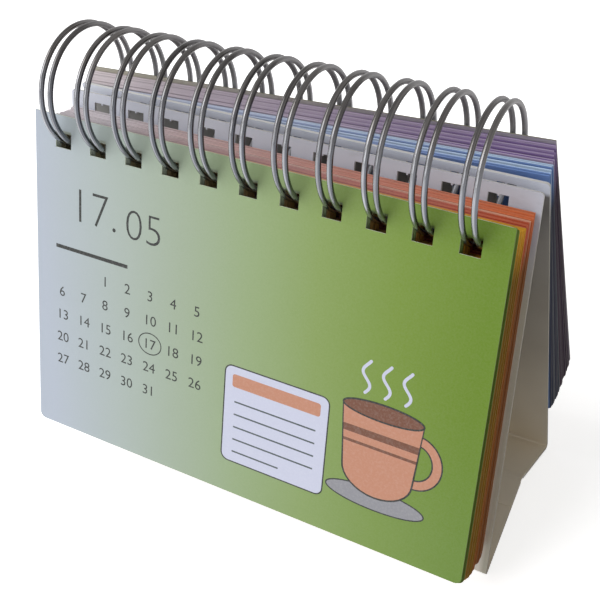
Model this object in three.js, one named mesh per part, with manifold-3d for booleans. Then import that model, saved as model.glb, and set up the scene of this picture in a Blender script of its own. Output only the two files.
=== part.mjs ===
// A free-standing desk calendar: packs of punched leaves hang on a twin-loop wire at the
// top of a folded board tent. The dated pack hangs in front, the spent pack behind.
// Millimetres, +X to the right, +Y away from the reader, +Z up. The sections are worked
// out in the YZ plane around the axis of the wire's rings, and the whole is then moved so
// that the origin lies under the middle of the footprint.

import * as THREE from 'three';
import { mergeVertices } from 'three/addons/utils/BufferGeometryUtils.js';
import Module from 'manifold-3d';

const wasm = await Module();
wasm.setup();

// Leaves
const leafWidth = 148;
const leafHeight = 105;
const leafThickness = 0.35;
const leafCornerRadius = 2;
const cornerSteps = 4;

// Punching of the leaves
const holeCount = 11;
const holePitch = 12.7;
const holeWidth = 5.7;
const holeHeight = 5.4;
const holeTopMargin = 4.6;
const punchOvershoot = 1;

// Twin-loop wire
const wireDiameter = 1.6;
const ringRadius = 18.4;
const loopSpacing = 3.25;
const wireBendRadius = 1.5;
const wireStub = 3;
const spineAngle = -69;
const closureAngle = 8;
const stepsPerLoop = 30;
const wireSides = 6;
const wireClearance = 0.3;

// Tent of laminated board
const standMargin = 1.15;
const boardThickness = 0.8;
const standCornerRadius = 1;
const slotTopMargin = 2.8;
const slotHeight = 11.6;
const ringHeight = 122.8;
const creaseRise = 11.1;
const creaseSetback = 0.62;
const creaseLift = 0.45;
const baseGap = 2.4;

// Packs of leaves
const frontPackCount = 8;
const backPackCount = 5;
const packGap = 0.3;
const flexMargin = 2;
// Open width at the bend, so that the margin and the sheet clear each other when it closes.
const flexGap = 1;

// Where each sheet hangs: the angle of its crossing on the ring, its lean (bottom to the
// rear counts positive), and how far down its hole the wire lies, from 0 at the top to 1.
const topLeafHang = { angle: 222.2, lean: -9.8, slack: 0.12 };
const innerFrontHang = { angle: 276.5, lean: -10.2, slack: 0.74 };
const frontPanelHang = { angle: 279.9, lean: -9.1, slack: 0.9739 };
const backPanelHang = { angle: 315.4, lean: 17.7, slack: 0.5044 };
const innerBackHang = { angle: 319.3, lean: 17.5, slack: 0.05 };
const lastLeafHang = { angle: 347, lean: 22.6, slack: 0.12 };

const standWidth = leafWidth + 2 * standMargin;
const wireRadius = wireDiameter / 2;
const flexLine = holeTopMargin + holeHeight + flexMargin;
const leafPunch = { top: holeTopMargin, height: holeHeight };
const slotPunch = { top: slotTopMargin, height: slotHeight };
const radians = THREE.MathUtils.degToRad;
const mix = THREE.MathUtils.lerp;

// Middle of each hole or loop along X.
const loopCentres = Array.from(
  { length: holeCount },
  (_, index) => (index - (holeCount - 1) / 2) * holePitch,
);

const colours = {
  board: 0xc4c5ce,
  wire: 0xb9bbc2,
  topLeaf: 0x86a262,
  green: 0x7d9c48,
  gold: 0xbf9a3c,
  red: 0xa8472c,
  orange: 0xc26a42,
  blue: 0x5b7fb4,
  violet: 0x84719a,
  lastLeaf: 0xb9b4bb,
};

// Section helpers

// How much of the wire's thickness a tilted sheet sees where the ring passes through it.
function wireObliquity({ angle, lean }) {
  const ring = radians(angle);
  const tilt = radians(lean);
  return Math.abs(-Math.sin(ring) * Math.cos(tilt) + Math.cos(ring) * Math.sin(tilt));
}

// One face of a hung sheet, as its top and bottom points in the YZ plane.
function hungFace(hang, punch, length) {
  const reach = wireRadius / wireObliquity(hang);
  const play = punch.height - 2 * reach - 2 * wireClearance;
  const drop = punch.top + wireClearance + reach + hang.slack * play;
  const ring = radians(hang.angle);
  const tilt = radians(hang.lean);
  const crossing = new THREE.Vector2(Math.cos(ring), Math.sin(ring)).multiplyScalar(ringRadius);
  const down = new THREE.Vector2(Math.sin(tilt), -Math.cos(tilt));
  const top = crossing.addScaledVector(down, -drop);
  return { top, bottom: top.clone().addScaledVector(down, length) };
}

// The same face moved along its normal, to the rear where the distance is positive.
function offsetFace({ top, bottom }, distance) {
  const down = bottom.clone().sub(top).normalize();
  const shift = new THREE.Vector2(-down.y, down.x).multiplyScalar(distance);
  return { top: top.clone().add(shift), bottom: bottom.clone().add(shift) };
}

// The part of a face between two distances from its top edge.
function faceSpan({ top, bottom }, from, to) {
  const length = top.distanceTo(bottom);
  return {
    top: top.clone().lerp(bottom, from / length),
    bottom: top.clone().lerp(bottom, to / length),
  };
}

// A face made longer or shorter so that it ends on the floor.
function faceToFloor(face) {
  const share = (-ringHeight - face.top.y) / (face.bottom.y - face.top.y);
  return { top: face.top, bottom: face.top.clone().lerp(face.bottom, share) };
}

// Outline of a sheet with its top edge on y = 0.
function sheetShape({ width, height, topRadius = 0, bottomRadius = 0 }) {
  const side = width / 2;
  const corners = [
    { x: side, y: 0, radius: topRadius, start: 0 },
    { x: -side, y: 0, radius: topRadius, start: 90 },
    { x: -side, y: -height, radius: bottomRadius, start: 180 },
    { x: side, y: -height, radius: bottomRadius, start: 270 },
  ];
  const outline = corners.flatMap(({ x, y, radius, start }) => {
    if (radius === 0) return [new THREE.Vector2(x, y)];
    const centreX = x - Math.sign(x) * radius;
    const centreY = y === 0 ? -radius : y + radius;
    return Array.from({ length: cornerSteps + 1 }, (_, step) => {
      const turn = radians(start + (90 * step) / cornerSteps);
      return new THREE.Vector2(centreX + radius * Math.cos(turn), centreY + radius * Math.sin(turn));
    });
  });
  return new THREE.Shape(outline);
}

// A slab of a sheet outline between a front face and a rear face, which may fan apart.
function slabGeometry(shape, height, front, rear) {
  const geometry = new THREE.ExtrudeGeometry(shape, { depth: 1, bevelEnabled: false });
  const position = geometry.getAttribute('position');
  for (let index = 0; index < position.count; index += 1) {
    const share = -position.getY(index) / height;
    const face = position.getZ(index) > 0.5 ? front : rear;
    const y = mix(face.top.x, face.bottom.x, share);
    const z = mix(face.top.y, face.bottom.y, share);
    position.setXYZ(index, position.getX(index), y, z);
  }
  geometry.computeVertexNormals();
  return geometry;
}

// The geometry as a solid that can be cut, and back.
function solidOf(geometry) {
  const bare = geometry.clone();
  bare.deleteAttribute('normal');
  bare.deleteAttribute('uv');
  const merged = mergeVertices(bare, 1e-4);
  return new wasm.Manifold(new wasm.Mesh({
    numProp: 3,
    vertProperties: merged.getAttribute('position').array,
    triVerts: new Uint32Array(merged.index.array),
  }));
}

function geometryOf(solid) {
  const { vertProperties, triVerts } = solid.getMesh();
  const geometry = new THREE.BufferGeometry();
  geometry.setAttribute('position', new THREE.BufferAttribute(vertProperties, 3));
  geometry.setIndex(new THREE.BufferAttribute(triVerts, 1));
  geometry.computeVertexNormals();
  return geometry;
}

// The same slab with one hole or slot for each loop of the wire.
function punchedSlab(shape, height, front, rear, punch) {
  const before = offsetFace(front, -punchOvershoot);
  const behind = offsetFace(rear, punchOvershoot);
  let solid = solidOf(slabGeometry(shape, height, front, rear));
  for (const centre of loopCentres) {
    const left = centre - holeWidth / 2;
    const right = centre + holeWidth / 2;
    const bottom = -punch.top - punch.height;
    const hole = new THREE.Shape([
      new THREE.Vector2(left, bottom),
      new THREE.Vector2(right, bottom),
      new THREE.Vector2(right, -punch.top),
      new THREE.Vector2(left, -punch.top),
    ]);
    solid = solid.subtract(solidOf(slabGeometry(hole, height, before, behind)));
  }
  return geometryOf(solid);
}

const calendar = new THREE.Group();

function addPart(name, geometry, color, roughness, metalness = 0) {
  const material = new THREE.MeshStandardMaterial({ color, roughness, metalness });
  const mesh = new THREE.Mesh(geometry, material);
  mesh.name = name;
  calendar.add(mesh);
  return mesh;
}

// Tent panels: the outer faces are hung on the wire and reach down to the floor.

const frontPanelOuter = faceToFloor(hungFace(frontPanelHang, slotPunch, ringHeight));
const frontPanelInner = faceToFloor(offsetFace(frontPanelOuter, boardThickness));
const backPanelOuter = faceToFloor(hungFace(backPanelHang, slotPunch, ringHeight));
const backPanelInner = faceToFloor(offsetFace(backPanelOuter, -boardThickness));

function addPanel(name, front, rear) {
  const height = front.top.distanceTo(front.bottom);
  const shape = sheetShape({ width: standWidth, height, topRadius: standCornerRadius });
  addPart(name, punchedSlab(shape, height, front, rear, slotPunch), colours.board, 0.45);
}

addPanel('stand_front_panel', frontPanelOuter, frontPanelInner);
addPanel('stand_back_panel', backPanelInner, backPanelOuter);

// Tent base: two halves that rise from the outer creases to a crease in the middle.

const floorWidthOf = (outer, inner) => Math.abs(outer.bottom.x - inner.bottom.x);
const frontHinge = new THREE.Vector2(
  frontPanelOuter.bottom.x + floorWidthOf(frontPanelOuter, frontPanelInner) + creaseSetback,
  -ringHeight + creaseLift,
);
const rearHinge = new THREE.Vector2(
  backPanelOuter.bottom.x - floorWidthOf(backPanelOuter, backPanelInner) - creaseSetback,
  -ringHeight + creaseLift,
);
const middle = (frontHinge.x + rearHinge.x) / 2;

function addBaseHalf(name, hinge, crease) {
  const from = hinge.x < crease.x ? hinge : crease;
  const to = hinge.x < crease.x ? crease : hinge;
  const centreLine = { top: from, bottom: to };
  const height = from.distanceTo(to);
  const upper = offsetFace(centreLine, boardThickness / 2);
  const lower = offsetFace(centreLine, -boardThickness / 2);
  const shape = sheetShape({ width: standWidth, height });
  addPart(name, slabGeometry(shape, height, lower, upper), colours.board, 0.5);
}

const creaseHeight = -ringHeight + creaseRise;
addBaseHalf('stand_base_front_half', frontHinge, new THREE.Vector2(middle - baseGap / 2, creaseHeight));
addBaseHalf('stand_base_rear_half', rearHinge, new THREE.Vector2(middle + baseGap / 2, creaseHeight));

// Twin-loop wire: one wire bent to and fro on a cylinder. Its route is laid out flat, with
// "run" as the distance wound round the cylinder from the spine towards the closed tips.

function wireRoute() {
  const tipRun = ringRadius * radians(360 - closureAngle);
  const bend = wireBendRadius;
  const half = loopSpacing / 2;
  const legLength = tipRun - half - bend;
  const legSteps = Math.round((legLength / (2 * Math.PI * ringRadius)) * stepsPerLoop);
  const route = [];
  const put = (x, run, headingX, headingRun) => route.push({ x, run, headingX, headingRun });
  const corner = (centreX, centreRun, radius, start, sweep, steps) => {
    for (let step = 1; step <= steps; step += 1) {
      const turn = start + (sweep * step) / steps;
      const sense = Math.sign(sweep);
      put(
        centreX + radius * Math.cos(turn),
        centreRun + radius * Math.sin(turn),
        -sense * Math.sin(turn),
        sense * Math.cos(turn),
      );
    }
  };
  const leg = (x, from, to) => {
    for (let step = 1; step <= legSteps; step += 1) {
      put(x, mix(from, to, step / legSteps), 0, Math.sign(to - from));
    }
  };
  put(loopCentres[0] - half - bend - wireStub, 0, 1, 0);
  for (const centre of loopCentres) {
    put(centre - half - bend, 0, 1, 0);
    corner(centre - half - bend, bend, bend, -Math.PI / 2, Math.PI / 2, 2);
    leg(centre - half, bend, tipRun - half);
    corner(centre, tipRun - half, half, Math.PI, -Math.PI, 4);
    leg(centre + half, tipRun - half, bend);
    corner(centre + half + bend, bend, bend, Math.PI, Math.PI / 2, 2);
  }
  put(loopCentres.at(-1) + half + bend + wireStub, 0, 1, 0);
  return route.map(({ x, run, headingX, headingRun }) => {
    const angle = radians(spineAngle) - run / ringRadius;
    const out = new THREE.Vector3(0, Math.cos(angle), Math.sin(angle));
    const along = new THREE.Vector3(
      headingX,
      headingRun * Math.sin(angle),
      -headingRun * Math.cos(angle),
    ).normalize();
    const centre = new THREE.Vector3(x, 0, 0).addScaledVector(out, ringRadius);
    return { centre, out, side: along.clone().cross(out) };
  });
}

function tubeGeometry(route, radius, sides) {
  const points = [];
  for (const { centre, out, side } of route) {
    for (let corner = 0; corner < sides; corner += 1) {
      const turn = (corner / sides) * 2 * Math.PI;
      const point = centre.clone();
      point.addScaledVector(out, radius * Math.cos(turn));
      point.addScaledVector(side, radius * Math.sin(turn));
      points.push(point.x, point.y, point.z);
    }
  }
  const triangles = [];
  for (let ring = 0; ring + 1 < route.length; ring += 1) {
    for (let corner = 0; corner < sides; corner += 1) {
      const next = (corner + 1) % sides;
      const a = ring * sides + corner;
      const b = ring * sides + next;
      triangles.push(a, b, b + sides, a, b + sides, a + sides);
    }
  }
  const last = (route.length - 1) * sides;
  for (let corner = 1; corner + 1 < sides; corner += 1) {
    triangles.push(0, corner + 1, corner);
    triangles.push(last, last + corner, last + corner + 1);
  }
  const geometry = new THREE.BufferGeometry();
  geometry.setAttribute('position', new THREE.Float32BufferAttribute(points, 3));
  geometry.setIndex(triangles);
  geometry.computeVertexNormals();
  return geometry;
}

// Least distance from one stretch of wire to another, past its own neighbourhood.
function leastSelfGap(route, diameter) {
  const travelled = [0];
  for (let index = 1; index < route.length; index += 1) {
    travelled.push(travelled[index - 1] + route[index].centre.distanceTo(route[index - 1].centre));
  }
  let least = Infinity;
  for (let a = 0; a < route.length; a += 1) {
    for (let b = a + 1; b < route.length; b += 1) {
      const apart = route[a].centre.distanceTo(route[b].centre) - diameter;
      if (travelled[b] - travelled[a] > 4 * diameter && apart < least) least = apart;
    }
  }
  return least;
}

const route = wireRoute();
console.log(`wire's least gap to itself: ${leastSelfGap(route, wireDiameter).toFixed(2)} mm`);
addPart('wire_binding', tubeGeometry(route, wireRadius, wireSides), colours.wire, 0.25, 0.9);

// Top leaf: one dated sheet that bends at a line just below its holes when it is turned,
// so it is made as a punched margin and a free sheet.

const topLeafFront = hungFace(topLeafHang, leafPunch, leafHeight);
const topLeafRear = offsetFace(topLeafFront, leafThickness);
const marginHeight = flexLine - flexGap / 2;
const sheetTop = flexLine + flexGap / 2;
const sheetHeight = leafHeight - sheetTop;

addPart(
  'top_leaf_margin',
  punchedSlab(
    sheetShape({ width: leafWidth, height: marginHeight }),
    marginHeight,
    faceSpan(topLeafFront, 0, marginHeight),
    faceSpan(topLeafRear, 0, marginHeight),
    leafPunch,
  ),
  colours.topLeaf,
  0.7,
);
addPart(
  'top_leaf_sheet',
  slabGeometry(
    sheetShape({ width: leafWidth, height: sheetHeight, bottomRadius: leafCornerRadius }),
    sheetHeight,
    faceSpan(topLeafFront, sheetTop, leafHeight),
    faceSpan(topLeafRear, sheetTop, leafHeight),
  ),
  colours.topLeaf,
  0.7,
);

// Packs of leaves behind it: each is the slab between two hung faces of a fan.

const leafShape = sheetShape({ width: leafWidth, height: leafHeight, bottomRadius: leafCornerRadius });

// Turn about the ring that carries a sheet its own thickness and one gap further.
const oneLeafTurn = (hang) => THREE.MathUtils.radToDeg(
  (leafThickness + packGap) / (ringRadius * wireObliquity(hang)),
);

function fanFace(first, last, share) {
  const hang = {
    angle: mix(first.angle, last.angle, share),
    lean: mix(first.lean, last.lean, share),
    slack: mix(first.slack, last.slack, share),
  };
  return hungFace(hang, leafPunch, leafHeight);
}

function addPacks(first, last, names) {
  names.forEach(([name, colour], index) => {
    const front = fanFace(first, last, index / names.length);
    const rear = offsetFace(fanFace(first, last, (index + 1) / names.length), -packGap);
    addPart(name, punchedSlab(leafShape, leafHeight, front, rear, leafPunch), colour, 0.75);
  });
}

// Names in the order of the packs, front to rear, as runs of one colour.
function packNames(count, runs) {
  const names = runs.flatMap(([label, most]) => Array.from(
    { length: most },
    (_, index) => [`${label}_leaves_${index + 1}`, colours[label]],
  ));
  return names.slice(0, count);
}

const frontStart = {
  ...topLeafHang,
  angle: topLeafHang.angle + oneLeafTurn(topLeafHang),
};
const backEnd = {
  ...lastLeafHang,
  angle: lastLeafHang.angle - oneLeafTurn(lastLeafHang),
};
addPacks(frontStart, innerFrontHang, packNames(frontPackCount, [
  ['green', 1],
  ['gold', 3],
  ['red', 2],
  ['orange', 2],
]));
addPacks(innerBackHang, backEnd, packNames(backPackCount, [
  ['blue', 2],
  ['violet', 3],
]));

// Last leaf: the stiff card that closes the spent pack.

const lastLeafRear = hungFace(lastLeafHang, leafPunch, leafHeight);
const lastLeafFront = offsetFace(lastLeafRear, -leafThickness);
addPart(
  'last_leaf',
  punchedSlab(leafShape, leafHeight, lastLeafFront, lastLeafRear, leafPunch),
  colours.lastLeaf,
  0.6,
);

// Origin under the middle of the footprint.
const box = new THREE.Box3().setFromObject(calendar);
const centre = box.getCenter(new THREE.Vector3());
calendar.position.set(-centre.x, -centre.y, -box.min.z);

export default calendar;
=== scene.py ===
"""A free-standing desk calendar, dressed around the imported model.

Sections are worked out in millimetres in the YZ plane around the axis of the wire's rings, as in the part's
source, and world() moves them to the shared frame in metres.
"""

import math
import random

import bmesh
import bpy
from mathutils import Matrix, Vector

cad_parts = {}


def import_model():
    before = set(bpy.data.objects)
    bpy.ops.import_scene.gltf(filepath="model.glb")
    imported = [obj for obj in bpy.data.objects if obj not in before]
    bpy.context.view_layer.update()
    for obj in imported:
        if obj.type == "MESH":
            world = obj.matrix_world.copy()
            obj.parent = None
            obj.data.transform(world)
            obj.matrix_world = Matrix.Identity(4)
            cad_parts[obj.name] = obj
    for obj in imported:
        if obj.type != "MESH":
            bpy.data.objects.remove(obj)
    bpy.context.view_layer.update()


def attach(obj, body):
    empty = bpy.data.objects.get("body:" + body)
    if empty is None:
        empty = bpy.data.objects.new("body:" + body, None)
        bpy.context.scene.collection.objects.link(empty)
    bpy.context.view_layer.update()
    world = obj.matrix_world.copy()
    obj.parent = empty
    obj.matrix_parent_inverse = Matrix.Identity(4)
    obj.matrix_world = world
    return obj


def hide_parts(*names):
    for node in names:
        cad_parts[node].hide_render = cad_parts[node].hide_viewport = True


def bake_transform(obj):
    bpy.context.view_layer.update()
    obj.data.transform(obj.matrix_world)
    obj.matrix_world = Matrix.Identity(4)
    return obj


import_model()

MM = 0.001
RING_AXIS_Y = -12.667
RING_AXIS_Z = 122.8
RING_RADIUS = 18.4
WIRE_RADIUS = 0.8
WIRE_CLEARANCE = 0.3

LEAF_WIDTH = 148.0
LEAF_HEIGHT = 105.0
LEAF_THICKNESS = 0.35
PACK_GAP = 0.3
LEAF_CORNER = 2.0
HOLE_COUNT = 11
HOLE_PITCH = 12.7
HOLE_WIDTH = 5.7
# A punch is how far below a sheet's upper edge its holes begin, and how high they are.
LEAF_PUNCH = (4.6, 5.4)
FLEX_LINE = 12.0

STAND_WIDTH = 150.3
BOARD = 0.8
BOARD_CORNER = 1.0
SLOT_PUNCH = (2.8, 11.6)
CREASE_RISE = 11.1
BASE_GAP = 2.4
FOLD_RADIUS = 0.8
FOLD_BLEND = 1.1
SLOT_NUB = 0.5

# The tent's creases on the floor, in the shared frame.
FRONT_CREASE_Y = -24.839
REAR_CREASE_Y = 34.042

# Where each sheet hangs: its angle on the ring and its lean, in degrees, and how much of the slack in its
# holes lies above the wire.
TOP_LEAF = (222.2, -9.8, 0.12)
INNER_FRONT = (276.5, -10.2, 0.74)
FRONT_PANEL = (279.9, -9.1, 0.9739)
BACK_PANEL = (315.4, 17.7, 0.5044)
INNER_BACK = (319.3, 17.5, 0.05)
LAST_LEAF = (347.0, 22.6, 0.12)

# How far the first and last sheets of a side are turned in their own plane, in radians.
FRONT_TURNS = (0.0094, 0.0)
BACK_TURNS = (0.016, 0.031)
# The front sheets turn about a point this far to the right of the middle.
FRONT_PIVOT_X = 45.0

# The middle of each of the wire's loops, and of each hole and slot.
LOOP_CENTRES = [(n - (HOLE_COUNT - 1) / 2) * HOLE_PITCH for n in range(HOLE_COUNT)]


def world(x, y, z):
    """A point of a section, in millimetres, taken to the shared frame in metres."""
    return Vector((x, y + RING_AXIS_Y, z + RING_AXIS_Z)) * MM


def mix(a, b, share):
    return a + (b - a) * share


# Sections


def obliquity(hang):
    """The sine of the angle between the ring and a hung sheet where it passes through."""
    angle, lean = math.radians(hang[0]), math.radians(hang[1])
    return abs(-math.sin(angle) * math.cos(lean) + math.cos(angle) * math.sin(lean))


def one_leaf_on(hang, way):
    """The hang of a sheet that is one leaf and one gap further on or back."""
    turn = math.degrees((LEAF_THICKNESS + PACK_GAP) / (RING_RADIUS * obliquity(hang)))
    return (hang[0] + way * turn, hang[1], hang[2])


class Face:
    """One face of a hung sheet: its top point, the way down it and its normal to the rear."""

    def __init__(self, hang, punch):
        angle, lean = math.radians(hang[0]), math.radians(hang[1])
        self.angle, self.lean = angle, lean
        self.down = (math.sin(lean), -math.cos(lean))
        self.rear = (math.cos(lean), math.sin(lean))
        reach = WIRE_RADIUS / obliquity(hang)
        play = punch[1] - 2 * reach - 2 * WIRE_CLEARANCE
        drop = punch[0] + WIRE_CLEARANCE + reach + hang[2] * play
        self.top = (
            RING_RADIUS * math.cos(angle) - self.down[0] * drop,
            RING_RADIUS * math.sin(angle) - self.down[1] * drop,
        )

    def at(self, t, depth):
        """The point at distance t down the sheet and the given depth behind its face."""
        return (
            self.top[0] + self.down[0] * t + self.rear[0] * depth,
            self.top[1] + self.down[1] * t + self.rear[1] * depth,
        )

    def ring_slope(self):
        """How far to the rear a sheet moves for each millimetre that it rises along the ring."""
        return math.tan(self.lean - self.angle)


def between(first, last, share):
    """The hang of a sheet between two others."""
    return tuple(mix(a, b, share) for a, b in zip(first, last))


# Meshes


def mesh_object(name, points, faces, material, uvs=None, floats=None, smooth=False):
    """A mesh from points in metres. uvs has a pair for each point, and each of the floats a value."""
    mesh = bpy.data.meshes.new(name)
    mesh.from_pydata([tuple(p) for p in points], [], faces)
    mesh.materials.append(material)
    if uvs:
        layer = mesh.uv_layers.new(name="sheet")
        for loop in mesh.loops:
            layer.data[loop.index].uv = uvs[loop.vertex_index]
    for key, values in (floats or {}).items():
        mesh.attributes.new(key, "FLOAT", "POINT").data.foreach_set("value", values)
    mesh.polygons.foreach_set("use_smooth", [smooth] * len(mesh.polygons))
    turned = bmesh.new()
    turned.from_mesh(mesh)
    bmesh.ops.recalc_face_normals(turned, faces=turned.faces)
    turned.to_mesh(mesh)
    turned.free()
    obj = bpy.data.objects.new(name, mesh)
    bpy.context.scene.collection.objects.link(obj)
    return obj


def spread(values):
    """The values in order, each once."""
    least_step = 1e-6
    out = []
    for value in sorted(values):
        if not out or value - out[-1] > least_step:
            out.append(value)
    return out


def plate(width, length, corner, punch, rows, round_end="bottom", nub=0.0):
    """The plan of a punched sheet as a grid: points (x, t) and cells of 3 or 4 of them.

    nub is the side of the little square that hangs in the middle of each slot's upper edge.
    """
    half = width / 2
    arc_steps = 5
    at_top = round_end == "top"
    sines = [math.sin(math.radians(90 * k / arc_steps)) for k in range(arc_steps + 1)]
    xs = [0.0]
    for sine in sines:
        xs += [half - corner + corner * sine, -(half - corner + corner * sine)]
    for centre in LOOP_CENTRES:
        xs += [centre - HOLE_WIDTH / 2, centre + HOLE_WIDTH / 2]
        if nub:
            xs += [centre - nub / 2, centre + nub / 2]
    xs = spread(xs)
    inner = [punch[0], punch[0] + punch[1], corner if at_top else length - corner, *rows]
    if nub:
        inner.append(punch[0] + nub)
    inner = spread(inner)

    def inset(x):
        past = abs(x) - (half - corner)
        return corner - math.sqrt(max(corner * corner - past * past, 0)) if past > 0 else 0.0

    def row(j, x):
        if j == 0:
            return inset(x) if at_top else 0.0
        if j == len(inner) + 1:
            return length if at_top else length - inset(x)
        return inner[j - 1]

    points, index = [], {}

    def point(x, t):
        key = (round(x, 5), round(t, 5))
        if key not in index:
            index[key] = len(points)
            points.append((x, t))
        return index[key]

    def punched(x, t):
        if not punch[0] < t < punch[0] + punch[1]:
            return False
        for centre in LOOP_CENTRES:
            if abs(x - centre) < HOLE_WIDTH / 2:
                return not (nub and abs(x - centre) < nub / 2 and t < punch[0] + nub)
        return False

    cells = []
    for a, b in zip(xs, xs[1:]):
        for j in range(len(inner) + 1):
            quad = [(a, row(j, a)), (b, row(j, b)), (b, row(j + 1, b)), (a, row(j + 1, a))]
            if punched((a + b) / 2, sum(t for _, t in quad) / 4):
                continue
            cell = list(dict.fromkeys(point(*place) for place in quad))
            if len(cell) > 2:
                cells.append(cell)
    return points, cells


def thicken(points, cells):
    """Closed faces of a plate: its front, its rear and its edges. Rear points follow the front ones."""
    count = len(points)
    edges = dict.fromkeys(edge for cell in cells for edge in zip(cell, cell[1:] + cell[:1]))
    faces = [list(reversed(cell)) for cell in cells]
    faces += [[count + v for v in cell] for cell in cells]
    for a, b in edges:
        if (b, a) not in edges:
            faces.append([a, b, count + b, count + a])
    return faces


class Stack:
    """Sheets gathered into one mesh. Each keeps its depth in the pack, its tone and how pale it is."""

    def __init__(self):
        self.points, self.faces, self.uvs = [], [], []
        self.floats = {"depth": [], "side": [], "tone": [], "pale": []}

    def add(self, plan, place, depth=0.0, thickness=0.0, tone=1.0, pale=0.0):
        """Adds a plate. place takes (x, t, side) to a point, side being 0 in front and 1 behind."""
        points, cells = plan
        base = len(self.points)
        for side in (0.0, 1.0):
            for x, t in points:
                self.points.append(place(x, t, side))
                self.uvs.append((x / LEAF_WIDTH + 0.5, 1 - t / LEAF_HEIGHT))
                for key, value in zip(self.floats, (depth + side * thickness, side, tone, pale)):
                    self.floats[key].append(value)
        self.faces += [[base + v for v in face] for face in thicken(points, cells)]

    def build(self, name, material):
        return mesh_object(name, self.points, self.faces, material, self.uvs, self.floats)


# Materials


class Look:
    """A node material, built up from the shader backwards."""

    def __init__(self, name, roughness, specular, metallic=0.0):
        self.material = bpy.data.materials.new(name)
        self.material.use_nodes = True
        self.tree = self.material.node_tree
        self.shader = self.tree.nodes["Principled BSDF"]
        self.shader.inputs["Roughness"].default_value = roughness
        self.shader.inputs["Specular IOR Level"].default_value = specular
        self.shader.inputs["Metallic"].default_value = metallic

    def node(self, kind, inputs=(), **settings):
        """A node with its settings, and each of its inputs set to a value or linked to a socket."""
        node = self.tree.nodes.new(kind)
        for key, value in settings.items():
            setattr(node, key, value)
        for socket, value in dict(inputs).items():
            self.feed(node.inputs[socket], value)
        return node

    def feed(self, socket, value):
        if isinstance(value, bpy.types.NodeSocket):
            self.tree.links.new(value, socket)
        else:
            socket.default_value = value

    def math(self, operation, a, b=0.0):
        return self.node("ShaderNodeMath", {0: a, 1: b}, operation=operation).outputs[0]

    def blend(self, share, a, b):
        """A mix of two colours, all a at 0 and all b at 1."""
        return self.node("ShaderNodeMix", {0: share, 6: a, 7: b}, data_type="RGBA").outputs[2]

    def noise(self, scale, detail, rough, vector=None, stretch=None, w=None):
        """Noise in the object's own space, along a vector, or along the single value w."""
        inputs = {"Scale": scale, "Detail": detail, "Roughness": rough}
        if w is not None:
            return self.node("ShaderNodeTexNoise", inputs | {"W": w}, noise_dimensions="1D").outputs[0]
        if vector is None:
            vector = self.node("ShaderNodeTexCoord").outputs["Object"]
        if stretch:
            vector = self.node("ShaderNodeMapping", {"Vector": vector, "Scale": stretch}).outputs[0]
        return self.node("ShaderNodeTexNoise", inputs | {"Vector": vector}).outputs[0]

    def ramp(self, value, stops):
        """A run of colours. stops go up in place, which is given as (place, red, green, blue)."""
        node = self.node("ShaderNodeValToRGB", {"Fac": value})
        elements = node.color_ramp.elements
        for n, (place, *colour) in enumerate(stops):
            stop = elements[n] if n < 2 else elements.new(place)
            stop.position = place
            stop.color = srgb(*colour)
        return node.outputs[0]

    def span(self, value, low, high, to_low=0.0, to_high=1.0):
        """The value's place between low and high, clamped and taken to another range."""
        node = self.node("ShaderNodeMapRange", {0: value, 1: low, 2: high, 3: to_low, 4: to_high})
        return node.outputs[0]

    def attribute(self, name):
        return self.node("ShaderNodeAttribute", attribute_name=name).outputs["Fac"]

    def uv(self):
        """How far across a sheet and how far up it a point is."""
        place = self.node("ShaderNodeUVMap", uv_map="sheet").outputs[0]
        parts = self.node("ShaderNodeSeparateXYZ", {0: place})
        return parts.outputs[0], parts.outputs[1]

    def bump(self, height, distance, strength, under=None):
        node = self.node("ShaderNodeBump", {"Height": height, "Distance": distance, "Strength": strength})
        if under is not None:
            self.feed(node.inputs["Normal"], under)
        return node.outputs[0]

    def finish(self, colour, normal=None, roughness=None):
        """Feeds the shader, and gives the finished material."""
        self.feed(self.shader.inputs["Base Color"], colour)
        if normal is not None:
            self.feed(self.shader.inputs["Normal"], normal)
        if roughness is not None:
            self.feed(self.shader.inputs["Roughness"], roughness)
        return self.material


def linear(level):
    """A level of 0 to 255 as light."""
    return ((level / 255 + 0.055) / 1.055) ** 2.4 if level > 10 else level / 255 / 12.92


def srgb(red, green, blue):
    return (linear(red), linear(green), linear(blue), 1.0)


def paper_grain(look):
    fine = look.noise(2600, 3.0, 0.6)
    return look.bump(fine, 0.00002, 0.5)


def from_middle(look, across):
    """How far a point is from the middle of its sheet: 0.5 is a leaf's end."""
    return look.math("ABSOLUTE", look.math("SUBTRACT", across, 0.5))


def cut_edge(look):
    """1 on the cut edges of a sheet and 0 on its faces."""
    side = look.attribute("side")
    rising = look.math("MULTIPLY", side, look.math("SUBTRACT", 1.0, side))
    return look.span(rising, 0.003, 0.02)


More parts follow.
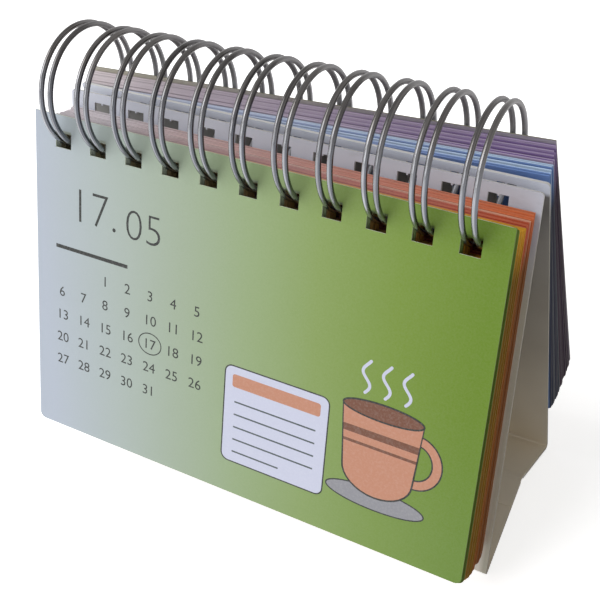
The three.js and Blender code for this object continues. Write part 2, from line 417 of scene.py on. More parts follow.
def leaf_look(name):
    """Coated paper printed in a fade from pale grey-blue at the left to green at the right."""
    look = Look(name, roughness=0.5, specular=0.22)
    across, up = look.uv()
    drift = look.noise(14, 2.0, 0.5)
    place = look.math("ADD", across, look.math("MULTIPLY", look.math("SUBTRACT", drift, 0.5), 0.06))
    place = look.math("ADD", place, look.math("MULTIPLY", look.math("SUBTRACT", up, 0.5), 0.03))
    fade = look.ramp(place, [
        (0.02, 176, 184, 196),
        (0.20, 167, 178, 173),
        (0.35, 156, 170, 149),
        (0.50, 144, 163, 121),
        (0.66, 130, 152, 88),
        (0.82, 114, 140, 57),
        (0.98, 99, 128, 34),
    ])
    screen = look.noise(1800, 2.0, 0.7)
    ink = look.blend(look.span(screen, 0.3, 0.7, 0.0, 0.03), fade, srgb(235, 238, 230))
    # Painted sheen: the print is blended a little toward pale blue over the lower half of the leaf.
    ink = look.blend(look.span(up, 0.5, 0.1, 0.0, 0.025), ink, srgb(185, 200, 235))
    cut = look.blend(look.span(across, 0.990, 0.999), srgb(214, 222, 196), srgb(96, 118, 52))
    ink = look.blend(cut_edge(look), ink, cut)
    rough = look.span(look.noise(60, 3.0, 0.6), 0.3, 0.7, 0.46, 0.56)
    return look.finish(ink, paper_grain(look), rough)


def pack_look(name, printed, shaded_edge_colour, light, faded, start=0.12, end=0.95):
    """Faces and cut edges of many leaves, with a fine line for every few sheets.

    Faces have the printed colour, and below the top the cut edges and the faces near the ends take the darker
    edge colour, which is painted shade. The light one is mixed in for pale sheets, and from end to start all
    of them fade to the faded one.
    """
    look = Look(name, roughness=0.66, specular=0.1)
    across, up = look.uv()
    depth = look.attribute("depth")
    face = look.blend(look.attribute("pale"), srgb(*printed), srgb(*light))
    edge = look.blend(look.math("MULTIPLY", look.attribute("pale"), 0.03), srgb(*shaded_edge_colour), srgb(*light))
    cut = cut_edge(look)
    # Painted shade: below the top, the cut edges and the faces near each end darken to the edge colour.
    end_shade = look.span(from_middle(look, across), 0.4945, 0.4965, 0.0, 0.85)
    edge_shade_mask = look.math("MULTIPLY", look.math("MAXIMUM", cut, end_shade), look.span(up, 0.985, 0.87))
    full = look.blend(edge_shade_mask, face, edge)
    colour = look.blend(look.span(across, start, end), srgb(*faded), full)
    lines = look.noise(2.6, 3.0, 0.75, w=depth)
    broad = look.noise(0.9, 1.0, 0.5, w=look.math("ADD", depth, 31.0))
    tone = look.math("MULTIPLY", look.attribute("tone"), look.span(lines, 0.3, 0.7, 0.8, 1.2))
    tone = look.math("MULTIPLY", tone, look.span(broad, 0.35, 0.65, 0.94, 1.06))
    fibre = look.noise(700, 3.0, 0.6, stretch=(0.15, 1.0, 1.0))
    on_edges = look.span(cut, 0.0, 1.0, 0.15, 1.0)
    fibre = look.math("MULTIPLY", look.span(fibre, 0.3, 0.7, -0.05, 0.05), on_edges)
    tone = look.math("MULTIPLY", tone, look.math("ADD", 1.0, fibre))
    toned = look.node("ShaderNodeVectorMath", {0: colour, "Scale": tone}, operation="SCALE").outputs[0]
    ridges = look.noise(9.0, 2.0, 0.8, w=depth)
    normal = look.bump(ridges, 0.00006, 0.7, under=paper_grain(look))
    return look.finish(toned, normal)


def card_look(name):
    """Stiff card that closes the back pack: tinted like its leaves in front, plain pale grey behind."""
    look = Look(name, roughness=0.6, specular=0.25)
    across, _ = look.uv()
    mottle = look.noise(70, 4.0, 0.6)
    front = look.blend(look.span(across, 0.1, 0.8), srgb(206, 201, 186), srgb(158, 151, 166))
    rear = look.blend(look.span(mottle, 0.3, 0.7), srgb(178, 176, 172), srgb(187, 185, 181))
    colour = look.blend(look.attribute("side"), front, rear)
    fleck = look.noise(900, 2.0, 0.7)
    colour = look.blend(look.span(fleck, 0.62, 0.78, 0.0, 0.4), colour, srgb(150, 146, 140))
    # Painted shade: the cut edges are darkened.
    colour = look.blend(cut_edge(look), colour, srgb(122, 120, 104))
    return look.finish(colour, paper_grain(look), look.span(mottle, 0.3, 0.7, 0.52, 0.66))


def board_look(name):
    """White laminated board: a satin film over a faint mottle, scuffed grey, with a matt cut core.

    Its outer side has painted warm light low down and painted shade at its ends. Its inner side is painted
    warm and light at the floor and darker towards the slots, with a painted light strip along its top, and
    the cut core has painted shade below the top.
    """
    look = Look(name, roughness=0.32, specular=0.5)
    mottle = look.noise(55, 4.0, 0.55)
    cloud = look.noise(9, 2.0, 0.5)
    white = look.blend(look.span(mottle, 0.3, 0.7), srgb(193, 196, 208), srgb(201, 204, 216))
    white = look.blend(look.span(cloud, 0.35, 0.7, 0.0, 0.5), white, srgb(188, 190, 200))
    across, up = look.uv()
    # Painted warm light: the outer side is whiter and warmer below the top.
    low = look.blend(look.span(mottle, 0.3, 0.7), srgb(236, 231, 220), srgb(243, 238, 227))
    # Painted shade: near the board's ends the lower outer side darkens.
    end_shade = look.span(from_middle(look, across), 0.490, 0.501)
    low = look.blend(end_shade, low, srgb(190, 187, 170))
    white = look.blend(look.span(up, 0.9, 0.7), white, low)
    scuff = look.noise(240, 3.0, 0.7, stretch=(0.25, 1.0, 1.0))
    white = look.blend(look.span(scuff, 0.62, 0.8, 0.0, 0.35), white, srgb(165, 165, 170))
    lip = look.blend(look.span(mottle, 0.3, 0.7), srgb(222, 226, 238), srgb(230, 234, 246))
    # Painted light and shade on the inner side: warm and bright down at the floor, darker up towards the
    # slots.
    inner = look.ramp(look.span(up, -0.2, 0.9), [
        (0.0, 240, 230, 211),
        (0.5, 165, 158, 146),
        (0.9, 142, 138, 133),
        (1.0, 112, 109, 107),
    ])
    inner = look.blend(look.span(mottle, 0.3, 0.7, 0.0, 0.05), inner, srgb(255, 250, 240))
    # Painted light: a paler strip along the top of the inner side.
    inner = look.blend(look.span(up, 0.955, 0.97), inner, lip)
    white = look.blend(look.attribute("side"), white, inner)
    # Painted shade: the cut core darkens below the top.
    grey = look.blend(look.span(up, 0.97, 0.85), srgb(206, 206, 204), srgb(150, 146, 136))
    core = cut_edge(look)
    white = look.blend(core, white, grey)
    rough = look.math("ADD", look.span(mottle, 0.3, 0.7, 0.26, 0.42), look.math("MULTIPLY", core, 0.5))
    film = look.bump(look.noise(420, 3.0, 0.6), 0.00003, 0.6)
    return look.finish(white, film, rough)


def steel_look(name):
    """Bright plated wire: fine draw lines along it and an uneven polish, with painted reflections: light and
    dark streaks round it, dark over its crown and lighter behind, and painted shade on its sides that face
    right.
    """
    look = Look(name, roughness=0.2, specular=0.5, metallic=1.0)
    around, along = look.uv()

    def join(*parts):
        return look.node("ShaderNodeCombineXYZ", dict(enumerate(parts))).outputs[0]

    lengthwise = join(look.math("MULTIPLY", around, 40.0), look.math("MULTIPLY", along, 3.0))
    lines = look.noise(1.0, 4.0, 0.7, vector=lengthwise)
    turn = look.math("MULTIPLY", around, 2 * math.pi)
    wrapped = join(look.math("COSINE", turn), look.math("SINE", turn), look.math("MULTIPLY", along, 0.8))
    streak = look.noise(1.0, 2.0, 0.5, vector=wrapped)
    patch = look.noise(160, 3.0, 0.6)
    # Painted reflections: light and dark streaks round the wire.
    bright = look.blend(look.span(streak, 0.38, 0.62), srgb(128, 129, 134), srgb(176, 178, 184))
    # Painted dark reflection for the crown, streaked like the rest.
    dark_crown_reflection = look.blend(look.span(streak, 0.38, 0.62), srgb(58, 56, 55), srgb(94, 91, 89))
    place = look.node("ShaderNodeSeparateXYZ", {0: look.node("ShaderNodeTexCoord").outputs["Object"]})
    crown = look.span(place.outputs[2], (RING_AXIS_Z + 1) * MM, (RING_AXIS_Z + 13) * MM)
    behind = look.span(place.outputs[1], (RING_AXIS_Y - 2) * MM, (RING_AXIS_Y + 8) * MM)
    facing = look.node("ShaderNodeSeparateXYZ", {0: look.node("ShaderNodeNewGeometry").outputs["Normal"]})
    # Painted shade: darker on the sides facing right, in front and above the lowest part.
    right = look.span(facing.outputs[0], 0.15, 0.5, 0.0, 0.8)
    lifted = look.span(place.outputs[2], (RING_AXIS_Z - 15) * MM, (RING_AXIS_Z - 7) * MM)
    right_side_shade = look.math("MULTIPLY", look.math("MULTIPLY", right, lifted), look.math("SUBTRACT", 1.0, behind))
    tint = look.blend(right_side_shade, bright, srgb(74, 78, 88))
    tint = look.blend(crown, tint, dark_crown_reflection)
    # Painted light: the rear halves are lighter as well as rougher.
    tint = look.blend(look.math("MULTIPLY", behind, 0.6), tint, srgb(158, 156, 158))
    tint = look.blend(look.span(patch, 0.35, 0.7, 0.0, 0.25), tint, srgb(108, 107, 109))
    rough = look.math("ADD", look.span(lines, 0.3, 0.7, 0.12, 0.24), look.span(patch, 0.4, 0.8, 0.0, 0.08))
    rough = look.math("ADD", rough, look.math("MULTIPLY", behind, 0.38))
    return look.finish(tint, look.bump(lines, 0.000015, 0.6), rough)


def ink_look(name, colour):
    """Printed ink, a little uneven."""
    look = Look(name, roughness=0.5, specular=0.3)
    cover = look.noise(1500, 3.0, 0.7)
    full = srgb(*colour)
    thin = tuple(mix(c, 1.0, 0.12) for c in full)
    tone = look.blend(look.span(cover, 0.45, 0.75, 0.0, 0.6), full, thin)
    return look.finish(tone, paper_grain(look))


leaf_paper = leaf_look("printed_leaf")
board_white = board_look("laminated_board")
steel = steel_look("plated_wire")
# Printed, edge (painted shade), light and faded colours of each paper, and where the violet ones fade.
PAPERS = {
    "green": [(112, 134, 52), (80, 98, 30), (176, 192, 130), (188, 196, 186)],
    "gold": [(222, 166, 50), (126, 94, 30), (232, 190, 90), (206, 198, 170)],
    "red": [(184, 74, 44), (130, 78, 14), (228, 140, 108), (198, 190, 194)],
    "orange": [(208, 112, 70), (118, 76, 36), (232, 178, 152), (198, 190, 194)],
    "blue": [(100, 132, 192), (58, 54, 56), (186, 208, 232), (186, 190, 206)],
    "violet": [(116, 94, 142), (52, 42, 46), (188, 172, 202), (196, 186, 188), 0.02, 0.9],
}
papers = {colour: pack_look(colour + "_paper_edges", *values) for colour, values in PAPERS.items()}
card = card_look("pale_card")

# Leaves


def leaf_plan(rows=()):
    return plate(LEAF_WIDTH, LEAF_HEIGHT, LEAF_CORNER, LEAF_PUNCH, rows)


plain_plan = leaf_plan()
dice = random.Random(7)
# The depth that the looks of both sides' sheets are drawn over.
PACK_DEPTH = 16.0
# How much of its place in the fan a sheet fills, and how far it strays in turn, place and tone.
SHEET_SHARE = 0.9
TURN_JITTER = 0.0003
SLIP = 0.28
TONES = (0.94, 1.06)


def place_front(x, t, depth, face, turn, side=0.0, drop=0.0):
    """A point of a front sheet turned a little in its own plane, its right end down."""
    y, z = face.at(t + (x - FRONT_PIVOT_X) * turn + drop, depth)
    return world(x - t * turn + side, y, z)


def place_back(x, t, depth, face, turn, side=0.0, drop=0.0):
    """A point of a back sheet whose right end has slid up along the rings."""
    rise = x * turn
    y, z = face.at(t - rise + drop, depth + rise * face.ring_slope())
    return world(x + t * turn + side, y, z)


def add_pack(node, colour, first, last, share, turns, place, pales):
    """The sheets of one pack, fanned between two faces and turned by their place in the whole fan."""
    stack = Stack()
    plies = len(pales)
    for ply, pale in enumerate(pales):
        near = mix(share[0], share[1], ply / plies)
        far = mix(share[0], share[1], (ply + SHEET_SHARE) / plies)
        faces = [Face(between(first, last, s), LEAF_PUNCH) for s in (near, far)]
        turn = mix(turns[0], turns[1], near) + dice.uniform(-TURN_JITTER, TURN_JITTER)
        side = dice.uniform(-SLIP, SLIP)
        drop = dice.uniform(-SLIP, SLIP)

        def spot(x, t, rear, faces=faces, turn=turn, side=side, drop=drop):
            a = place(x, t, 0.0, faces[0], turn, side, drop)
            b = place(x, t, 0.0, faces[1], turn, side, drop)
            return a.lerp(b, rear)

        tone = dice.uniform(*TONES)
        stack.add(plain_plan, spot, near * PACK_DEPTH, (far - near) * PACK_DEPTH, tone, pale)
    piece = stack.build(node + "_sheets", papers[colour])
    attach(piece, colour + "_pack")
    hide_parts(node)


# How pale each sheet of a pack is, from the front to the rear.
FRONT_PALE = {
    "green_leaves_1": [0.0, 0.1, 0.0, 0.1, 0.0, 0.2],
    "gold_leaves_1": [0.1, 0.0, 0.2, 0.0, 0.1, 0.0],
    "gold_leaves_2": [0.0, 0.2, 0.0, 0.1, 0.0, 0.1],
    "gold_leaves_3": [0.1, 0.0, 0.2, 0.0, 0.3, 0.1],
    "red_leaves_1": [0.0, 0.5, 0.0, 0.2, 0.6, 0.0],
    "red_leaves_2": [0.55, 0.0, 0.1, 0.5, 0.0, 0.0],
    "orange_leaves_1": [0.9, 0.1, 0.0, 0.1, 0.0, 0.1],
    "orange_leaves_2": [0.0, 0.1, 0.0, 0.1, 0.0, 0.1],
}
BACK_PALE = {
    "blue_leaves_1": [0.1, 0.1, 0.9, 1.0],
    "blue_leaves_2": [0.0, 0.1, 0.9, 0.9],
    "violet_leaves_1": [0.9, 0.0, 0.9, 0.0],
    "violet_leaves_2": [0.6, 0.1, 0.2, 0.7],
    "violet_leaves_3": [0.0, 0.5, 0.6, 0.2],
}


def add_side(packs, first, last, turns, place):
    """All the packs of one side, each in its equal share of the fan."""
    for number, (node, pales) in enumerate(packs.items()):
        share = (number / len(packs), (number + 1) / len(packs))
        add_pack(node, node.split("_")[0], first, last, share, turns, place, pales)


add_side(FRONT_PALE, one_leaf_on(TOP_LEAF, 1), INNER_FRONT, FRONT_TURNS, place_front)
add_side(BACK_PALE, INNER_BACK, one_leaf_on(LAST_LEAF, -1), BACK_TURNS, place_back)

TOP_THICKNESS = 0.3
# Distances above and below the leaf's flex line; the points worked out from them below are not used.
BEND_ABOVE = 1.8
BEND_BELOW = 3.2
top_face = Face(TOP_LEAF, LEAF_PUNCH)
# Rows of points, close together across the bend and wide apart below it.
bend_rows = [10.5 + 0.5 * n for n in range(11)]
sheet_rows = [16.5 + 8.0 * n for n in range(11)]


def place_top(x, t, depth):
    return place_front(x, t, depth, top_face, FRONT_TURNS[0])


top_stack = Stack()
top_stack.add(leaf_plan(bend_rows + sheet_rows), lambda x, t, rear: place_top(x, t, rear * TOP_THICKNESS))
top_leaf = top_stack.build("top_leaf_printed", leaf_paper)
place_top(0, FLEX_LINE - BEND_ABOVE, TOP_THICKNESS / 2)
place_top(0, FLEX_LINE + BEND_BELOW, TOP_THICKNESS / 2)
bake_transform(top_leaf)
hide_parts("top_leaf_margin", "top_leaf_sheet")

last_face = Face(LAST_LEAF, LEAF_PUNCH)


def place_last(x, t, rear):
    return place_back(x, t, (rear - 1) * LEAF_THICKNESS, last_face, BACK_TURNS[1])


last_stack = Stack()
last_stack.add(plain_plan, place_last)
last_leaf = last_stack.build("last_leaf_card", card)
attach(last_leaf, "last_leaf")
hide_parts("last_leaf")

# Tent boards


def board_path(panel, hinge_sign, crease_y):
    """Centre line of a panel, its rounded fold on the floor and its half of the base.

    It is a list of (distance, point). hinge_sign is 1 where the base runs to the rear and -1 where it runs
    to the front.
    """
    face = Face(panel, SLOT_PUNCH)
    radius, steps, settling_rounds = FOLD_RADIUS, 10, 8
    inward = BOARD / 2 if hinge_sign > 0 else -BOARD / 2
    floor = -RING_AXIS_Z
    centre_z = floor + radius + BOARD / 2
    top = face.at(0, inward)
    length = (top[1] - centre_z) / -face.down[1]
    for _ in range(settling_rounds):
        foot = (top[0] + face.down[0] * length, top[1] + face.down[1] * length)
        centre = (foot[0] + face.rear[0] * radius * hinge_sign, foot[1] + face.rear[1] * radius * hinge_sign)
        length += (centre[1] - centre_z) / -face.down[1]
    crease = (crease_y - hinge_sign * BASE_GAP / 2, floor + CREASE_RISE)
    away = (crease[0] - centre[0], crease[1] - centre[1])
    distance = math.hypot(*away)
    heading = math.atan2(away[1], away[0]) + hinge_sign * math.asin(radius / distance)
    start = math.atan2(face.down[1], face.down[0])
    sweep = (heading - start + math.pi) % (2 * math.pi) - math.pi
    path = [(0.0, top), (length, foot)]
    for step in range(1, steps + 1):
        turn = start + sweep * step / steps - hinge_sign * math.pi / 2
        path.append((length + radius * abs(sweep) * step / steps,
                     (centre[0] + radius * math.cos(turn), centre[1] + radius * math.sin(turn))))
    reach = math.sqrt(max(distance ** 2 - radius ** 2, 0))
    end = path[-1][1]
    total = path[-1][0] + reach
    path.append((total, (end[0] + math.cos(heading) * reach, end[1] + math.sin(heading) * reach)))
    return path, total, centre


def along_path(path, t):
    """The point at distance t along a centre line and the unit normal on its left."""
    for (t0, p0), (t1, p1) in zip(path, path[1:]):
        if t <= t1 or (t1, p1) == path[-1]:
            share = (t - t0) / (t1 - t0)
            size = math.hypot(p1[0] - p0[0], p1[1] - p0[1])
            normal = (-(p1[1] - p0[1]) / size, (p1[0] - p0[0]) / size)
            return (mix(p0[0], p1[0], share), mix(p0[1], p1[1], share)), normal
    return path[-1][1], (0.0, 1.0)


def smooth_normal(path, t):
    """The point at distance t and its normal, averaged across the joints of the fold."""
    near = 0.02
    point, _ = along_path(path, t)
    _, before = along_path(path, max(t - near, 0.0))
    _, after = along_path(path, t + near)
    size = math.hypot(before[0] + after[0], before[1] + after[1])
    return point, ((before[0] + after[0]) / size, (before[1] + after[1]) / size)


def add_board(name, panel, hinge_sign, nodes, crease_y):
    """One panel with its half of the base, in one piece round its fold. The ends of a blend across the fold
    are worked out and not used.
    """
    path, total, centre = board_path(panel, hinge_sign, crease_y)
    knots = [t for t, _ in path[1:-1]]
    plan = plate(STAND_WIDTH, total, BOARD_CORNER, SLOT_PUNCH, knots, "top", SLOT_NUB)
    stack = Stack()

    def spot(x, t, side):
        (y, z), normal = smooth_normal(path, t)
        offset = (side - 0.5) * BOARD * hinge_sign
        return world(x, y + normal[0] * offset, z + normal[1] * offset)

    stack.add(plan, spot)
    piece = stack.build(name, board_white)
    down = path[1][1][0] - path[0][1][0], path[1][1][1] - path[0][1][1]
    up_base = path[-1][1][0] - path[-2][1][0], path[-1][1][1] - path[-2][1][1]
    a, b = Vector((0, *down)).normalized(), Vector((0, *up_base)).normalized()
    across = (b + a).normalized() * FOLD_BLEND
    middle = Vector((0, centre[0], centre[1]))
    start, end = middle - across, middle + across
    world(*start)
    world(*end)
    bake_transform(piece)
    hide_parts(*nodes)
    return path


base_middle = (REAR_CREASE_Y + FRONT_CREASE_Y) / 2 - RING_AXIS_Y
front_path = add_board("tent_front_board", FRONT_PANEL, 1,
                       ("stand_front_panel", "stand_base_front_half"), base_middle)
rear_path = add_board("tent_rear_board", BACK_PANEL, -1,
                      ("stand_back_panel", "stand_base_rear_half"), base_middle)


def add_ridge():
    """A strip of the board's film on the front half that closes the crease in the middle of the base."""
    crown_rise, thickness, columns, shade = 0.3, 0.22, 8, -0.2
    # For each half: its path, the way it faces, its points back from the crease and how far they stand off.
    halves = (
        (front_path, 1, (9.0, 6.0, 3.0, 0.4), 0.12),
        (rear_path, -1, (2.6, 1.8, 1.0, 0.4), 0.22),
    )
    arms = []
    for path, hand, reach, clearance in halves:
        (y0, z0), (y1, z1) = path[-2][1], path[-1][1]
        slope = math.atan2(z1 - z0, (y1 - y0) * hand)
        lift = BOARD / 2 + clearance
        arms.append([(y1 - hand * (math.cos(slope) * back + math.sin(slope) * lift),
                      z1 - math.sin(slope) * back + math.cos(slope) * lift) for back in reach])
    front_end, rear_end = arms[0][-1], arms[1][-1]
    crown = ((front_end[0] + rear_end[0]) / 2, max(front_end[1], rear_end[1]) + crown_rise)
    profile = arms[0] + [crown] + arms[1][::-1]
    rows = len(profile)
    xs = [-STAND_WIDTH / 2 + STAND_WIDTH * k / columns for k in range(columns + 1)]
    points = [(x, row) for x in xs for row in range(rows)]
    cells = [[a * rows + b, (a + 1) * rows + b, (a + 1) * rows + b + 1, a * rows + b + 1]
             for a in range(columns) for b in range(rows - 1)]

    def spot(x, row, side):
        y, z = profile[row]
        return world(x, y, z + side * thickness)

    stack = Stack()
    stack.add((points, cells), spot)
    piece = stack.build("base_ridge_film", board_white)
    # The film takes the inner side's colour at the floor end of the board's ramp, painted warm light
    # included.
    for value in piece.data.attributes["side"].data:
        value.value = 1.0
    for loop in piece.data.uv_layers["sheet"].data:
        loop.uv = (loop.uv[0], shade)
    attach(piece, "base_front")


add_ridge()

# Twin-loop wire

SPINE_ANGLE = -69.0
CLOSURE_ANGLE = 8.0
LOOP_SPACING = 3.25
WIRE_BEND = 1.5
WIRE_STUB = 3.0
STEPS_PER_LOOP = 96
BEND_STEPS = 6
TIP_STEPS = 12
WIRE_SIDES = 12
WIRE_UV_LENGTH = 100


def wire_route():
    """Points of the wire laid out flat, each (x, run, heading along x, heading along run).

    run is the distance wound from the spine.
    """
    tip = RING_RADIUS * math.radians(360 - CLOSURE_ANGLE)
    half, bend = LOOP_SPACING / 2, WIRE_BEND
    leg_length = tip - half - bend
    leg_steps = round(leg_length / (2 * math.pi * RING_RADIUS) * STEPS_PER_LOOP)
    route = []

    def corner(cx, crun, radius, start, sweep, steps):
        sense = math.copysign(1, sweep)
        for step in range(1, steps + 1):
            turn = start + sweep * step / steps
            route.append((cx + radius * math.cos(turn), crun + radius * math.sin(turn),
                          -sense * math.sin(turn), sense * math.cos(turn)))

    def leg(x, start, end):
        for step in range(1, leg_steps + 1):
            route.append((x, mix(start, end, step / leg_steps), 0.0, math.copysign(1, end - start)))

    route.append((LOOP_CENTRES[0] - half - bend - WIRE_STUB, 0.0, 1.0, 0.0))
    for centre in LOOP_CENTRES:
        route.append((centre - half - bend, 0.0, 1.0, 0.0))
        corner(centre - half - bend, bend, bend, -math.pi / 2, math.pi / 2, BEND_STEPS)
        leg(centre - half, bend, tip - half)
        corner(centre, tip - half, half, math.pi, -math.pi, TIP_STEPS)
        leg(centre + half, tip - half, bend)
        corner(centre + half + bend, bend, bend, math.pi, math.pi / 2, BEND_STEPS)
    route.append((LOOP_CENTRES[-1] + half + bend + WIRE_STUB, 0.0, 1.0, 0.0))
    return route


def add_wire():
    """The wire wound round the rings as one closed tube."""
    points, faces, uvs = [], [], []
    travelled, before = 0.0, None
    for x, run, heading_x, heading_run in wire_route():
        angle = math.radians(SPINE_ANGLE) - run / RING_RADIUS
        out = Vector((0, math.cos(angle), math.sin(angle)))
        wound = (heading_run * math.sin(angle), -heading_run * math.cos(angle))
        side = Vector((heading_x, *wound)).normalized().cross(out)
        centre = Vector((x, 0, 0)) + out * RING_RADIUS
        if before is not None:
            travelled += (centre - before).length
        before = centre
        for k in range(WIRE_SIDES):
            turn = 2 * math.pi * k / WIRE_SIDES
            p = centre + (out * math.cos(turn) + side * math.sin(turn)) * WIRE_RADIUS
            points.append(world(*p))
            uvs.append((k / WIRE_SIDES, travelled / WIRE_UV_LENGTH))
    rings = len(points) // WIRE_SIDES
    for ring in range(rings - 1):
        for k in range(WIRE_SIDES):
            a, b = ring * WIRE_SIDES + k, ring * WIRE_SIDES + (k + 1) % WIRE_SIDES
            faces.append([a, b, b + WIRE_SIDES, a + WIRE_SIDES])
    faces.append(list(reversed(range(WIRE_SIDES))))
    faces.append([(rings - 1) * WIRE_SIDES + k for k in range(WIRE_SIDES)])
    piece = mesh_object("twin_loop_wire", points, faces, steel, uvs, smooth=True)
    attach(piece, "root")
    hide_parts("wire_binding")


add_wire()

# Print on the top leaf: a plain date in numbers, a month of numbers and a generic mug and note card

INKS = {
    "dark": (44, 46, 44),
    "grey": (72, 82, 84),
    "white": (196, 199, 218),
    "clay": (186, 132, 108),
    "umber": (112, 74, 58),
    "shade": (140, 140, 146),
}
PRINT_SINK = 0.02
PRINT_LIFT = 0.012
# The points and faces printed in each ink.
prints = {ink: ([], []) for ink in INKS}


def print_depths(level):
    """A print's rear, just inside the leaf, and its front, a hair further out for each level."""
    return PRINT_SINK, -PRINT_LIFT - PRINT_LIFT * level


def print_prism(ink, outline, level=0):
    """A flat printed area with a hair of thickness. outline is (x, t) from the leaf's top left corner."""
    points, faces = prints[ink]
    base, count = len(points), len(outline)
    for depth in print_depths(level):
        points += [place_top(x - LEAF_WIDTH / 2, t, depth) for x, t in outline]
    area = sum(a[0] * b[1] - b[0] * a[1] for a, b in zip(outline, outline[1:] + outline[:1]))
    order = list(range(count)) if area > 0 else list(range(count))[::-1]
    faces.append([base + k for k in order])
    faces.append([base + count + k for k in reversed(order)])
    for a, b in zip(order, order[1:] + order[:1]):
        faces.append([base + b, base + a, base + count + a, base + count + b])


def ellipse(cx, cy, rx, ry, steps=40, start=0.0, sweep=360.0):
    """Points round an ellipse, or along an arc of it."""
    full = abs(sweep) >= 360
    turns = [math.radians(start + sweep * k / steps) for k in range(steps if full else steps + 1)]
    return [(cx + rx * math.cos(a), cy + ry * math.sin(a)) for a in turns]


def rounded(x0, y0, x1, y1, radius):
    """A box with rounded corners."""
    left, right, top, bottom = x0 + radius, x1 - radius, y0 + radius, y1 - radius
    out = []
    for k, (cx, cy) in enumerate(((right, bottom), (left, bottom), (left, top), (right, top))):
        out += ellipse(cx, cy, radius, radius, 6, 90 * k, 90)
    return out


def stroke(ink, line, width, level=0, closed=False):
    """A printed line of even width along points."""
    count = len(line)
    left, right = [], []
    for k in range(count):
        before = line[k - 1] if k or closed else line[k]
        after = line[(k + 1) % count] if k + 1 < count or closed else line[k]
        dx, dy = after[0] - before[0], after[1] - before[1]
        size = math.hypot(dx, dy) or 1.0
        nx, ny = -dy / size * width / 2, dx / size * width / 2
        left.append((line[k][0] + nx, line[k][1] + ny))
        right.append((line[k][0] - nx, line[k][1] - ny))
    for k in range(count if closed else count - 1):
        n = (k + 1) % count
        print_prism(ink, [left[k], left[n], right[n], right[k]], level)


def print_number(ink, text, x, t, size, weight=0.0, stretch=1.0):
    """A number set in Blender's own plain typeface, its baseline's left end at (x, t)."""
    curve = bpy.data.curves.new("number", "FONT")
    curve.body = text
    curve.size = size
    curve.offset = weight
    curve.extrude = 0.5
    curve.resolution_u = 4
    holder = bpy.data.objects.new("number", curve)
    bpy.context.scene.collection.objects.link(holder)
    bpy.context.view_layer.update()
    mesh = holder.to_mesh()
    points, faces = prints[ink]
    base = len(points)
    rear, front = print_depths(0)
    for v in mesh.vertices:
        depth = rear if v.co.z < 0 else front
        points.append(place_top(x + v.co.x * stretch - LEAF_WIDTH / 2, t - v.co.y, depth))
    faces += [[base + v for v in p.vertices] for p in mesh.polygons]
    holder.to_mesh_clear()
    bpy.data.objects.remove(holder)
    bpy.data.curves.remove(curve)


def print_date():
    """The day and the month as two numbers."""
    print_number("dark", "17.", x=13.0, t=32.0, size=16.0, weight=-0.32, stretch=0.92)
    print_number("dark", "05", x=33.0, t=32.6, size=14.0, weight=-0.28)


def print_month():
    """A month of plain numbers, seven to a row, under a short rule, with one ringed."""
    left, top, across, down = 7.4, 50.4, 8.3, 7.9
    rule_t, rule_length = 41.6, 27.0
    last_day, ringed_day = 31, 17

    def place(day):
        row, column = divmod(day + 1, 7)
        return left + column * across, top + row * down

    stroke("dark", [(left, rule_t), (left + rule_length, rule_t)], 1.2)
    for day in range(1, last_day + 1):
        x, t = place(day)
        indent = 0.0 if day > 9 else 1.0
        print_number("dark", str(day), x + indent, t, size=4.7)
    x, t = place(ringed_day)
    stroke("dark", ellipse(x + 2.5, t - 1.7, 4.1, 3.5, 32), 0.34, closed=True)


def print_card():
    """A white card ruled with plain lines."""
    outline = rounded(70, 62, 104, 94, 2.4)
    print_prism("white", outline)
    stroke("dark", outline, 0.4, 1, closed=True)
    print_prism("clay", rounded(72.6, 64.6, 101.4, 68.8, 0.8), 1)
    first_line, pitch, left = 73.6, 4.2, 73.6
    for row, right in enumerate((100.4, 100.4, 100.4, 100.4, 89.4)):
        t = first_line + row * pitch
        stroke("grey", [(left, t), (right, t)], 0.5, 1)


def print_mug():
    """A mug on a saucer with steam."""
    middle, lip, heel = 120.0, 61.0, 80.0
    saucer = (middle, 88.6, 15.0, 3.5)
    print_prism("shade", ellipse(*saucer))
    stroke("dark", ellipse(*saucer, 44), 0.4, 1, closed=True)
    handle = ellipse(130.6, 72.4, 6.4, 7.0, 22, -95, 205)
    stroke("dark", handle, 3.3, 1)
    stroke("clay", handle, 2.4, 2)
    foot = ellipse(middle, heel, 10.6, 8.0, 16, 0, 180)
    body = [(108.0, lip), (132.0, lip), (130.6, heel), *foot, (109.4, heel)]
    print_prism("clay", body, 3)
    for t, width in ((68.6, 2.2), (72.4, 0.9)):
        stroke("umber", [(108.7, t), (131.3, t)], width, 4)
    stroke("dark", body, 0.5, 5, closed=True)
    drink = (middle, lip, 12.0, 2.6)
    print_prism("umber", ellipse(*drink), 6)
    stroke("dark", ellipse(*drink, 36), 0.5, 7, closed=True)
    for x in (middle - 6.0, middle, middle + 6.0):
        wisp = [(x + 1.2 * math.sin(k * 0.31), 56.4 - k * 0.425) for k in range(24)]
        stroke("white", wisp, 0.9, 1)
        for end in (wisp[0], wisp[-1]):
            print_prism("white", ellipse(*end, 0.45, 0.45, 12), 2)


print_date()
print_month()
print_card()
print_mug()
for ink, (points, faces) in prints.items():
    piece = mesh_object("print_" + ink, points, faces, ink_look("ink_" + ink, INKS[ink]))
    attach(piece, "top_sheet")

# Floor, light and camera


def background_rays(tree):
    """1 for the rays that show the background plain white, which add no light to the object."""
    path = tree.nodes.new("ShaderNodeLightPath")
    shown = path.outputs["Is Camera Ray"]
    for kind in ("Is Glossy Ray", "Is Transmission Ray"):
        either = tree.nodes.new("ShaderNodeMath")
        either.operation = "MAXIMUM"
        tree.links.new(shown, either.inputs[0])
        tree.links.new(path.outputs[kind], either.inputs[1])
        shown = either.outputs[0]
    return shown


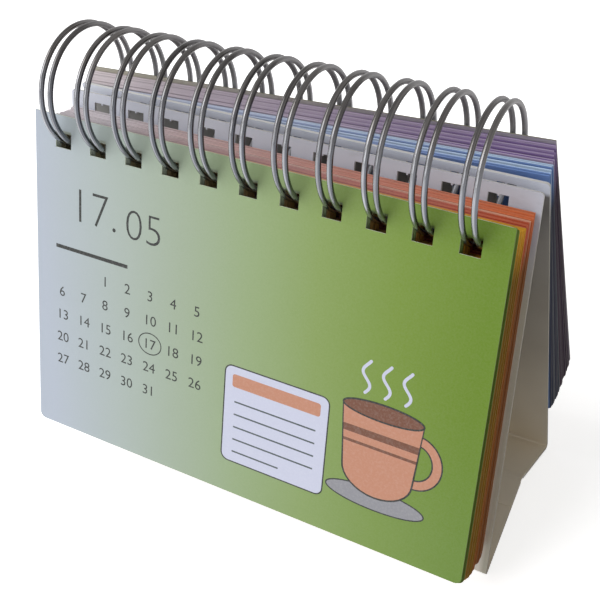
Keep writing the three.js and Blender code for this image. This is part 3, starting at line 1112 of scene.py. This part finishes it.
def add_floor():
    """A pale floor whose glow shows it as white and adds no light to the object."""
    size, glow = 6.0, 0.68
    look = Look("pale_floor", roughness=0.9, specular=0.0)
    speck = look.span(look.noise(30, 3.0, 0.5), 0.3, 0.7)
    look.finish(look.blend(speck, (0.88, 0.88, 0.88, 1.0), (0.90, 0.90, 0.90, 1.0)))
    look.feed(look.shader.inputs["Emission Color"], (1.0, 1.0, 1.0, 1.0))
    strength = look.math("MULTIPLY", background_rays(look.tree), glow)
    look.feed(look.shader.inputs["Emission Strength"], strength)
    outline = [(-size, -size, 0), (size, -size, 0), (size, size, 0), (-size, size, 0)]
    mesh_object("floor", outline, [[0, 1, 2, 3]], look.material)


def add_world():
    """A faint warm light from all round, with plain white for the background."""
    studio = bpy.data.worlds.new("studio")
    bpy.context.scene.world = studio
    studio.use_nodes = True
    tree = studio.node_tree
    lit = tree.nodes["Background"]
    lit.inputs["Color"].default_value = (1.0, 0.97, 0.93, 1.0)
    lit.inputs["Strength"].default_value = 0.26
    white = tree.nodes.new("ShaderNodeBackground")
    white.inputs["Color"].default_value = (1.0, 1.0, 1.0, 1.0)
    both = tree.nodes.new("ShaderNodeMixShader")
    tree.links.new(background_rays(tree), both.inputs[0])
    tree.links.new(lit.outputs[0], both.inputs[1])
    tree.links.new(white.outputs[0], both.inputs[2])
    tree.links.new(both.outputs[0], tree.nodes["World Output"].inputs["Surface"])


def aim(obj, position, target):
    """Puts a light or the camera in the scene, looking at the target."""
    obj.location = position
    obj.rotation_mode = "QUATERNION"
    obj.rotation_quaternion = (Vector(target) - Vector(position)).to_track_quat("-Z", "Y")
    bpy.context.scene.collection.objects.link(obj)


def add_lights():
    """A soft key from the front left and three panels that fill the shade."""
    sun = bpy.data.lights.new("soft_key", "SUN")
    sun.energy = 2.05
    sun.angle = math.radians(40)
    sun.color = (0.97, 0.98, 1.0)
    aim(bpy.data.objects.new("soft_key", sun), (-0.97, -1.15, 1.32), (0, 0, 0))
    for name, size, energy, position in (
        ("side_panel", (0.3, 0.9), 1.8, (-0.85, -0.25, 0.6)),
        ("front_panel", (0.9, 0.35), 1.8, (-0.35, -1.0, 0.35)),
        ("right_fill", (0.9, 0.9), 0.8, (0.8, -0.45, 0.25)),
    ):
        panel = bpy.data.lights.new(name, "AREA")
        panel.shape = "RECTANGLE"
        panel.size, panel.size_y = size
        panel.energy = energy
        aim(bpy.data.objects.new(name, panel), position, (0, 0, 0.1))


def add_camera():
    """At the photograph's angle, framed as 600 by 600 pixels."""
    pixels, focal, centre = 600, 1004.5, (337.6, 200.0)
    camera = bpy.data.cameras.new("camera")
    camera.sensor_width = 36.0
    camera.lens = focal * camera.sensor_width / pixels
    camera.shift_x = (pixels / 2 - centre[0]) / pixels
    camera.shift_y = (centre[1] - pixels / 2) / pixels
    azimuth, elevation = math.radians(27.15), math.radians(28.65)
    back = Vector((math.sin(azimuth) * math.cos(elevation), -math.cos(azimuth) * math.cos(elevation),
                   math.sin(elevation)))
    place = Vector((129.9, -227.3, 236.2)) * MM
    obj = bpy.data.objects.new("camera", camera)
    aim(obj, place, place - back)
    bpy.context.scene.camera = obj


add_floor()
add_world()
add_lights()
add_camera()
bpy.context.scene.view_settings.view_transform = "Standard"
